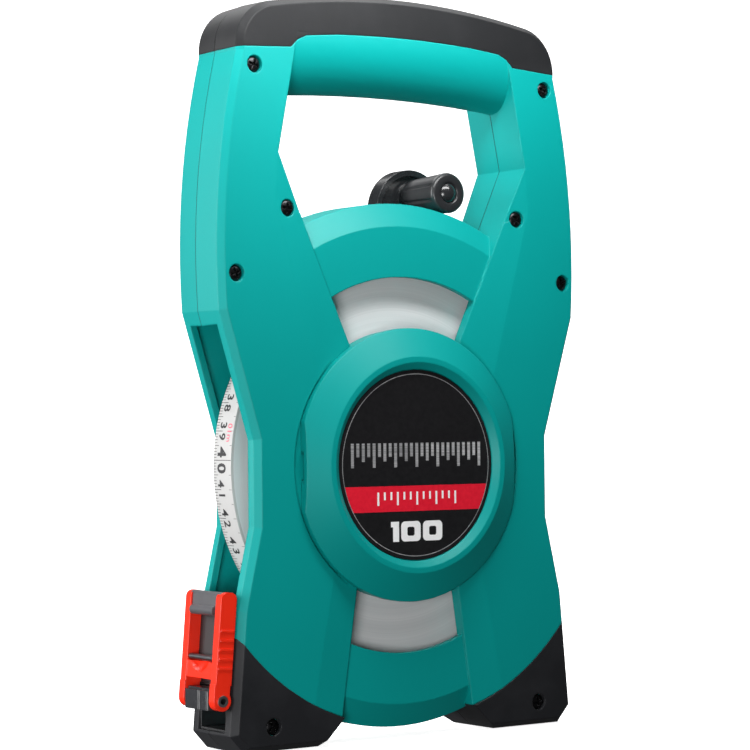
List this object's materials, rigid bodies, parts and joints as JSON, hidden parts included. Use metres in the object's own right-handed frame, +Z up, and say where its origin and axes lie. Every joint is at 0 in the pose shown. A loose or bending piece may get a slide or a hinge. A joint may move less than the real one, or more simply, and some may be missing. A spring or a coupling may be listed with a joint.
{
  "type": "surveyor tape reel",
  "caption": "Open-frame long measuring tape reel with a carrying handle, folding winding crank, window slots over the wound tape and a folding end hook.",
  "frame": {"origin": "on the reel's turning axis, halfway across the tape's width", "axes": "+Z up along the frame towards the handle, -Y out of the front face with the round label, +Y towards the winding crank, -X towards the side that the tape leaves"},
  "size_m": [0.158, 0.0442, 0.2595],
  "materials": {
    "teal_housing": "fine satin moulded ABS",
    "soft_grip": "fine matt soft-touch overmould",
    "foot_pad": "matt dark overmould",
    "black_fitting": "satin moulded plastic",
    "label_face": "smooth printed disc",
    "red_hook": "satin moulded plastic",
    "tape_blade": "white lacquered steel strip with printed scale",
    "bright_steel": "turned and ground steel",
    "black_screw": "black oxide steel",
    "bearing_plastic": "natural acetal"
  },
  "bodies": {
    "frame": {"front_shell": "teal_housing", "rear_shell": "teal_housing", "front_grip": "soft_grip", "rear_grip": "soft_grip", "front_left_foot": "foot_pad", "front_right_foot": "foot_pad", "rear_left_foot": "foot_pad", "rear_right_foot": "foot_pad", "hub_cap": "teal_housing", "label_disc": "label_face", "frame_screws": "black_screw", "front_bush": "bearing_plastic", "rear_bush": "bearing_plastic", "mouth_liner": "black_fitting"},
    "crank_hub": {"crank_hub": "black_fitting", "shaft": "bright_steel", "shaft_screw": "bright_steel", "shaft_washer": "bright_steel", "crank_fold_pin": "bright_steel"},
    "reel": {"reel_hub": "black_fitting", "tape_anchor_pin": "bright_steel", "tape_coil": "tape_blade", "tape_outer_turn": "tape_blade"},
    "crank_arm": {"crank_arm": "black_fitting", "knob_axle": "bright_steel"},
    "knob": {"crank_knob": "black_fitting"},
    "tape_end": {"tape_leader": "tape_blade", "tape_clamp": "black_fitting", "hook_rivet": "bright_steel"},
    "end_hook": {"hook_body": "red_hook", "hook_bar": "black_fitting", "hook_plate": "black_fitting", "hook_cross_pin": "bright_steel"}
  },
  "joints": [
    {"name": "crank_swing", "type": "hinge", "parent": "frame", "child": "crank_hub", "pos_m": [0, 0, 0], "axis": [0, 1, 0], "range_deg": [-37, 7]},
    {"name": "reel_spin", "type": "hinge", "parent": "crank_hub", "child": "reel", "pos_m": [0, 0, 0], "axis": [0, 1, 0], "continuous": true},
    {"name": "crank_fold", "type": "hinge", "parent": "crank_hub", "child": "crank_arm", "pos_m": [0.00411, 0.0196, 0.01546], "axis": [-0.9664, 0, 0.2571], "range_deg": [0, 180]},
    {"name": "knob_spin", "type": "hinge", "parent": "crank_arm", "child": "knob", "pos_m": [0.02594, 0, 0.09751], "axis": [0, 1, 0], "continuous": true},
    {"name": "tape_pull", "type": "slide", "parent": "frame", "child": "tape_end", "axis": [-0.9939, 0, -0.1103], "range_m": [0, 0.06]},
    {"name": "hook_fold", "type": "hinge", "parent": "tape_end", "child": "end_hook", "pos_m": [-0.0764, 0, -0.0776], "axis": [0, -1, 0], "range_deg": [0, 100]}
  ]
}
